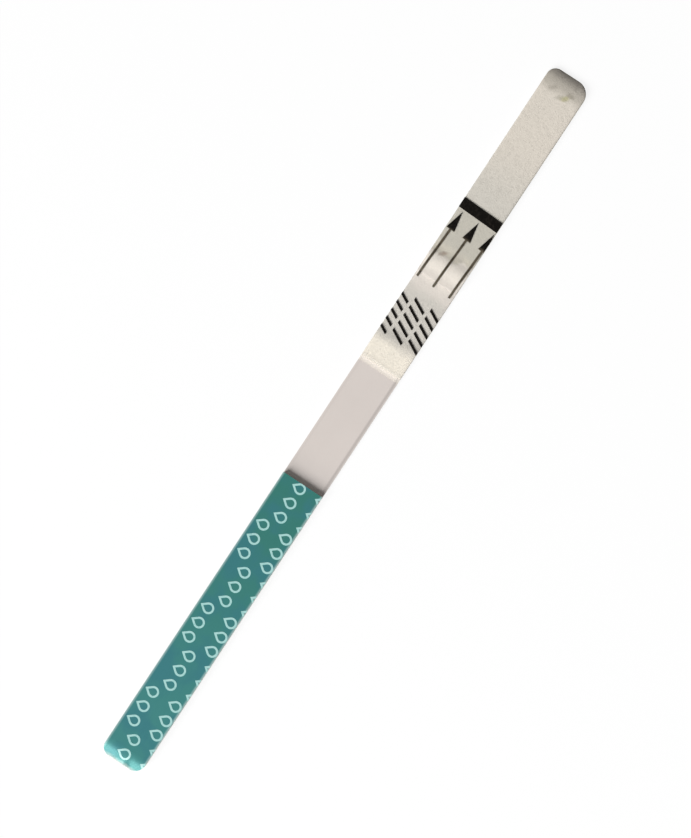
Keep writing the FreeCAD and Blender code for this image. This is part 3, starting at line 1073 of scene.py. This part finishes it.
@dataclass
class FibrePad:
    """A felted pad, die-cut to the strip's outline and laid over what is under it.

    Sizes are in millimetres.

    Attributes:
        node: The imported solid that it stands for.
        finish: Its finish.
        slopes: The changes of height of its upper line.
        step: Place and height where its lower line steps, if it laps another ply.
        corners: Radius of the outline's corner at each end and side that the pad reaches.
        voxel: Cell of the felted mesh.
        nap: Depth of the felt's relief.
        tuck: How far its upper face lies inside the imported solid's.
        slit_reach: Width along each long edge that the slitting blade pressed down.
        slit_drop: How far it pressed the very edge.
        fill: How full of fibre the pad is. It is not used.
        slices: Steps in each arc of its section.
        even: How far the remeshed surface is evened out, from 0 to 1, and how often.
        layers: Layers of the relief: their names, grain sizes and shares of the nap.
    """

    node: str
    finish: FibreFinish
    slopes: list[Slope]
    step: tuple[float, float]
    corners: dict[tuple[int, int], float] = field(default_factory=dict)
    voxel: float = 0.09
    nap: float = 0.035
    tuck: float = 0.012
    slit_reach: float = 0.45
    slit_drop: float = 0.1
    fill: float = 0.9
    slices: int = 8
    even: tuple[float, int] = (0.5, 3)
    layers: tuple[tuple[str, float, float], ...] = (("tufts", 0.55, 0.6), ("fibres", 0.22, 0.4))

    def build(self) -> bpy.types.Object:
        """Model the pad and put it in the strip.

        Returns:
            The finished pad.
        """
        work = Workpiece(self.node + "_felt", *millimetre_box(self.node))
        work.edit()
        self.round_corners(work)
        self.slice(work)
        self.fold(work)
        work.close()
        self.felt(work)
        pad = work.to_metres()
        bpy.ops.object.shade_smooth()
        pad.data.materials.clear()
        pad.data.materials.append(self.finish.material())
        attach(pad, ROOT)
        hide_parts(self.node)
        return pad

    def round_corners(self, work: Workpiece) -> None:
        """Round the upright edges at the ends that the pad shares with the strip.

        Args:
            work: The block.
        """
        for (end, side), radius in self.corners.items():
            x = work.high.x if end > 0 else work.low.x
            y = work.high.y if side > 0 else work.low.y
            work.select(
                Part.EDGES,
                lambda edge: all(math.dist(v.co.xy, (x, y)) < self.voxel / 10 for v in edge.verts),
            )
            bpy.ops.mesh.bevel(offset=radius, segments=self.slices, affect="EDGES")

    def slice(self, work: Workpiece) -> None:
        """Cut the block across wherever its section changes.

        Args:
            work: The block.
        """
        step_x = self.step[0]
        cuts = {step_x - self.voxel / 4, step_x + self.voxel / 4}
        for slope in self.slopes:
            pitch = (slope.end - slope.start) / (2 * self.slices)
            cuts.update(slope.start + pitch * index for index in range(2 * self.slices + 1))
        for x in sorted(cuts):
            if work.low.x < x < work.high.x:
                bpy.ops.mesh.select_all(action="SELECT")
                bpy.ops.mesh.bisect(plane_co=(x, 0, 0), plane_no=(1, 0, 0))

    def upper(self, x: float, top: float) -> float:
        """Height of the pad's upper face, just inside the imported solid's.

        Args:
            x: Place along the strip.
            top: Height before the first slope.

        Returns:
            The height there.
        """
        height = top
        for slope in self.slopes:
            if x >= slope.start:
                height = slope.height(min(x, slope.end))
        return height - self.tuck

    def lower(self, x: float, floor: float) -> float:
        """Height of the pad's lower face.

        Args:
            x: Place along the strip.
            floor: Height where the pad laps nothing.

        Returns:
            The height there.
        """
        step_x, step_z = self.step
        lapped = x < step_x if step_z > 0 else x > step_x
        return floor + abs(step_z) * lapped

    def fold(self, work: Workpiece) -> None:
        """Bring both faces of each slice to their heights.

        Args:
            work: The sliced block.
        """
        floor, top = work.low.z, work.high.z
        for (x, is_upper), here in work.stations((floor + top) / 2).items():
            if is_upper:
                work.shift(here, self.upper(x, top) - top)
            else:
                work.shift(here, self.lower(x, floor) - floor)

    def felt(self, work: Workpiece) -> None:
        """Turn the folded block into one even mesh, press its slit edges and give it the relief of felt.

        Args:
            work: The folded block.
        """
        work.modify("REMESH", mode="VOXEL", voxel_size=self.voxel, use_smooth_shade=True)
        factor, iterations = self.even
        work.modify("SMOOTH", factor=factor, iterations=iterations)
        floor, top = work.low.z, work.high.z
        edges = work.object.vertex_groups.new(name="slit_edges")
        for vertex in work.object.data.vertices:
            x, y, z = vertex.co
            nearness = max(0.0, 1 - (work.high.y - abs(y)) / self.slit_reach)
            height = max(0.0, (z - self.lower(x, floor)) / (top - floor))
            if nearness * height > 0:
                edges.add([vertex.index], min(1.0, nearness**2 * height), "REPLACE")
        work.modify(
            "DISPLACE", vertex_group=edges.name, direction="Z", strength=-self.slit_drop, mid_level=0.0
        )
        for name, scale, share in self.layers:
            texture = bpy.data.textures.new(self.node + "_" + name, "CLOUDS")
            texture.noise_scale = scale
            texture.noise_depth = 2
            work.modify("DISPLACE", texture=texture, strength=self.nap * share, mid_level=1.0)


@dataclass
class Strip:
    """The dip strip: its pads, and the finishes of the plies and prints.

    Sizes are in millimetres. Left and right are the +Y and -Y sides.

    Attributes:
        dip_corner_left: Radius of the outline's corner at the dip end, on the left.
        dip_corner_right: The same, on the right.
        handle_corner_left: The same at the handle's end, on the left.
        handle_corner_right: The same, on the right.
        conjugate_climb: Length of the rounded cut end of the conjugate pad.
        sample_climb: Length of the rounded cut end of the sample pad.
        settle_lead: How far before the end of the ply below a pad begins to sink.
        settle_run: Length over which it sinks.
        handle_roll: Length of the roll at the handle's end.
        handle_edge: Thickness of the absorbent pad at its very end.
        dip_pinch: Length of the pinch at the dip end.
        dip_edge: Thickness of the sample pad at its very end.
        thin_ink: Height of the ink's noise where its thin places begin, and where they are full.
        thin_share: How much of their colour shows then.
    """

    dip_corner_left: float = 1.3
    dip_corner_right: float = 1.9
    handle_corner_left: float = 1.3
    handle_corner_right: float = 1.65
    conjugate_climb: float = 0.5
    sample_climb: float = 1.8
    settle_lead: float = 0.9
    settle_run: float = 2.6
    handle_roll: float = 2.2
    handle_edge: float = 0.15
    dip_pinch: float = 2.7
    dip_edge: float = 0.15
    thin_ink: Span = (0.45, 0.75)
    thin_share: float = 0.8

    def absorbent_pad(self) -> FibrePad:
        """Wick under the handle tape, rolled down at the handle's end.

        Returns:
            The pad, ready to build.
        """
        low, high = millimetre_box("absorbent_pad")
        membrane_low, membrane_high = millimetre_box("nitrocellulose_membrane")
        roll = Slope(low.x, low.x + self.handle_roll, low.z + self.handle_edge, high.z, Bend.ENDS_LEVEL)
        return FibrePad(
            node="absorbent_pad",
            finish=FibreFinish("wick_felt", "wick_fibre", srgb(232, 230, 224)),
            slopes=[roll],
            step=(membrane_low.x, membrane_low.z - membrane_high.z),
            corners={(-1, 1): self.handle_corner_left, (-1, -1): self.handle_corner_right},
        )

    def conjugate_pad(self) -> FibrePad:
        """Glass fibre pad that laps the membrane's end.

        Returns:
            The pad, ready to build.
        """
        low, high = millimetre_box("conjugate_pad")
        membrane_low, membrane_high = millimetre_box("nitrocellulose_membrane")
        lap = membrane_high.z - membrane_low.z
        thickness = high.z - membrane_high.z
        settle = membrane_high.x - self.settle_lead
        return FibrePad(
            node="conjugate_pad",
            finish=ConjugateFinish("conjugate_felt", "conjugate_fibre", srgb(248, 240, 225)),
            slopes=[
                Slope(low.x, low.x + self.conjugate_climb, high.z - thickness / 2, high.z, Bend.ENDS_LEVEL),
                Slope(settle, settle + self.settle_run, high.z, high.z - lap, Bend.BOTH_LEVEL),
            ],
            step=(membrane_high.x, lap),
            voxel=0.08,
        )

    def sample_pad(self) -> FibrePad:
        """Bare wick of the dip end, which laps the conjugate pad's end and is pinched at its own.

        Returns:
            The pad, ready to build.
        """
        low, high = millimetre_box("sample_pad")
        conjugate_high = millimetre_box("conjugate_pad")[1]
        card_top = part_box("backing_card")[1].z / MM
        membrane_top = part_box("nitrocellulose_membrane")[1].z / MM
        lap = conjugate_high.z - membrane_top
        thickness = high.z - lap - card_top
        level = card_top + thickness
        settle = conjugate_high.x - self.settle_lead
        pinch = high.x - self.dip_pinch
        return FibrePad(
            node="sample_pad",
            finish=SamplePadFinish("sample_felt", "sample_fibre", srgb(211, 206, 196)),
            slopes=[
                Slope(low.x, low.x + self.sample_climb, high.z - thickness / 2, high.z, Bend.ENDS_LEVEL),
                Slope(settle, settle + self.settle_run, high.z, level, Bend.BOTH_LEVEL),
                Slope(pinch, high.x, level, card_top + self.dip_edge, Bend.STARTS_LEVEL),
            ],
            step=(conjugate_high.x, lap),
            corners={(1, 1): self.dip_corner_left, (1, -1): self.dip_corner_right},
        )

    def pads(self) -> list[FibrePad]:
        """The three pads, from the handle end."""
        return [self.absorbent_pad(), self.conjugate_pad(), self.sample_pad()]

    def finishes(self) -> dict[str, Finish]:
        """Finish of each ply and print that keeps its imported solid.

        Returns:
            The finishes by the names of their nodes.
        """
        thin_black = Tone(srgb(36, 32, 28), self.thin_ink, self.thin_share)
        thin_white = Tone(srgb(140, 196, 192), self.thin_ink, self.thin_share)
        black = InkFinish("black_print", "black_ink", srgb(10, 8, 6), thin_black)
        arrows = ArrowInkFinish("arrow_print", "black_ink", black.colour, black.thin)
        white = InkFinish("white_print", "white_ink", srgb(168, 212, 208), thin_white, 0.4, 0.3)
        return {
            "backing_card": CardFinish("white_card", "card_white"),
            "nitrocellulose_membrane": MembraneFinish("cast_membrane", "membrane_white"),
            "handle_tape": HandleTapeFinish("teal_tape", "handle_teal"),
            "limit_line_film": ClearFilmFinish("clear_tape", "clear_film"),
            "limit_bar": black,
            "dip_arrows": arrows,
            "limit_marks": black,
            "handle_marks": white,
        }

    def build(self, nodes: dict[str, bpy.types.Object]) -> None:
        """Model the pads and dress the plies and prints.

        Args:
            nodes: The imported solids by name.
        """
        for pad in self.pads():
            made = pad.build()
            LOG.info("%s stands for %s with %d faces", made.name, pad.node, len(made.data.polygons))
        ready: dict[str, bpy.types.Material] = {}
        for node, finish in self.finishes().items():
            if finish.name not in ready:
                ready[finish.name] = finish.material()
            for material_slot in nodes[node].material_slots:
                material_slot.material = ready[finish.name]
            LOG.info("%s is dressed in %s", node, finish.name)


# Studio


@dataclass
class Camera:
    """A long lens straight over the strip, leaning a little to its -Y side.

    Attributes:
        lens: Focal length in millimetres.
        sensor: Long side of the sensor in millimetres.
        frame_height: What the picture's long side covers at the strip, in metres.
        near: Distance from which the camera sees, in metres.
        heading: Angle on the picture from its right side up to the strip's dip end, in degrees.
        lean: Tilt of the view towards -Y, in degrees.
        aim: Point that the camera looks at, in metres.
    """

    lens: float = 150.0
    sensor: float = 36.0
    frame_height: float = 0.10806
    near: float = 0.01
    heading: float = 56.58
    lean: float = 3.0
    aim: Vector = field(default_factory=lambda: Vector((0.00007, 0.0001, 0.0006)))

    def build(self) -> None:
        """Place the camera and make it the scene's."""
        data = bpy.data.cameras.new("bench_camera")
        data.lens = self.lens
        data.sensor_width = self.sensor
        data.clip_start = self.near
        camera = bpy.data.objects.new("bench_camera", data)
        bpy.context.scene.collection.objects.link(camera)
        distance = self.frame_height * self.lens / self.sensor
        turn = Matrix.Rotation(math.radians(self.lean), 4, "X")
        turn = turn @ Matrix.Rotation(-math.radians(self.heading), 4, "Z")
        back = turn @ Vector((0, 0, 1))
        camera.matrix_world = Matrix.Translation(self.aim + back * distance) @ turn
        bpy.context.scene.camera = camera


@dataclass
class Studio:
    """White bench, white surroundings and one large soft lamp over the handle end.

    Attributes:
        fill: Brightness of the surroundings on matte surfaces.
        key: Share of full light that the lamp adds on a level surface.
        key_direction: Direction towards the lamp.
        key_distance: Its distance in metres.
        key_size: Its side in metres.
        floor_size: Side of the bench in metres.
        shadow: Share of the bench's own light in what the camera sees of it.
    """

    fill: float = 0.2
    key: float = 0.78
    key_direction: Vector = field(default_factory=lambda: Vector((-0.80, 0.16, 0.60)))
    key_distance: float = 1.6
    key_size: float = 1.0
    floor_size: float = 3.0
    shadow: float = 0.15

    def build(self) -> None:
        """Make the surroundings, the lamp and the bench."""
        self.surroundings()
        self.lamp()
        self.bench()
        bpy.context.scene.view_settings.view_transform = "Standard"

    def surroundings(self) -> None:
        """White world that lights matte surfaces more softly."""
        world = bpy.data.worlds.new("white_room")
        world.use_nodes = True
        bpy.context.scene.world = world
        sheet = Sheet(world.node_tree)
        matte = sheet.node("ShaderNodeBackground", Color=WHITE, Strength=self.fill)
        white = sheet.node("ShaderNodeBackground", Color=WHITE)
        shaders = matte.outputs["Background"], white.outputs["Background"]
        sheet.close("ShaderNodeOutputWorld", sheet.seen(), *shaders)

    def lamp(self) -> None:
        """One soft box, as bright as brings level surfaces to full light."""
        data = bpy.data.lights.new("soft_box", "AREA")
        data.shape = "SQUARE"
        data.size = self.key_size
        towards = self.key_direction.normalized()
        irradiance = self.key * math.pi / towards.z
        data.energy = irradiance * (math.pi * self.key_distance**2 + self.key_size**2)
        lamp = bpy.data.objects.new("soft_box", data)
        bpy.context.scene.collection.objects.link(lamp)
        lamp.location = towards * self.key_distance
        lamp.rotation_mode = "QUATERNION"
        lamp.rotation_quaternion = (-towards).to_track_quat("-Z", "Y")

    def bench(self) -> None:
        """White bench that keeps the strip's shadow faintly."""
        bpy.ops.object.select_all(action="DESELECT")
        bpy.ops.mesh.primitive_plane_add(size=self.floor_size)
        bench = bpy.context.object
        bench.name = "bench"
        material = bpy.data.materials.new("white_bench")
        material.use_nodes = True
        sheet = Sheet(material.node_tree)
        own = sheet.node("ShaderNodeBsdfDiffuse", Color=WHITE).outputs["BSDF"]
        light = sheet.node("ShaderNodeEmission").outputs["Emission"]
        share = sheet.math("MULTIPLY", sheet.seen(), 1 - self.shadow)
        sheet.close("ShaderNodeOutputMaterial", share, own, light)
        bench.data.materials.append(material)


def main() -> None:
    """Load the frame, build the strip and its studio, and log the pads' face counts."""
    logging.basicConfig(level=logging.INFO, format="%(name)s: %(message)s")
    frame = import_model()
    Strip().build(frame["nodes"])
    Camera().build()
    Studio().build()


if __name__ == "__main__":
    main()
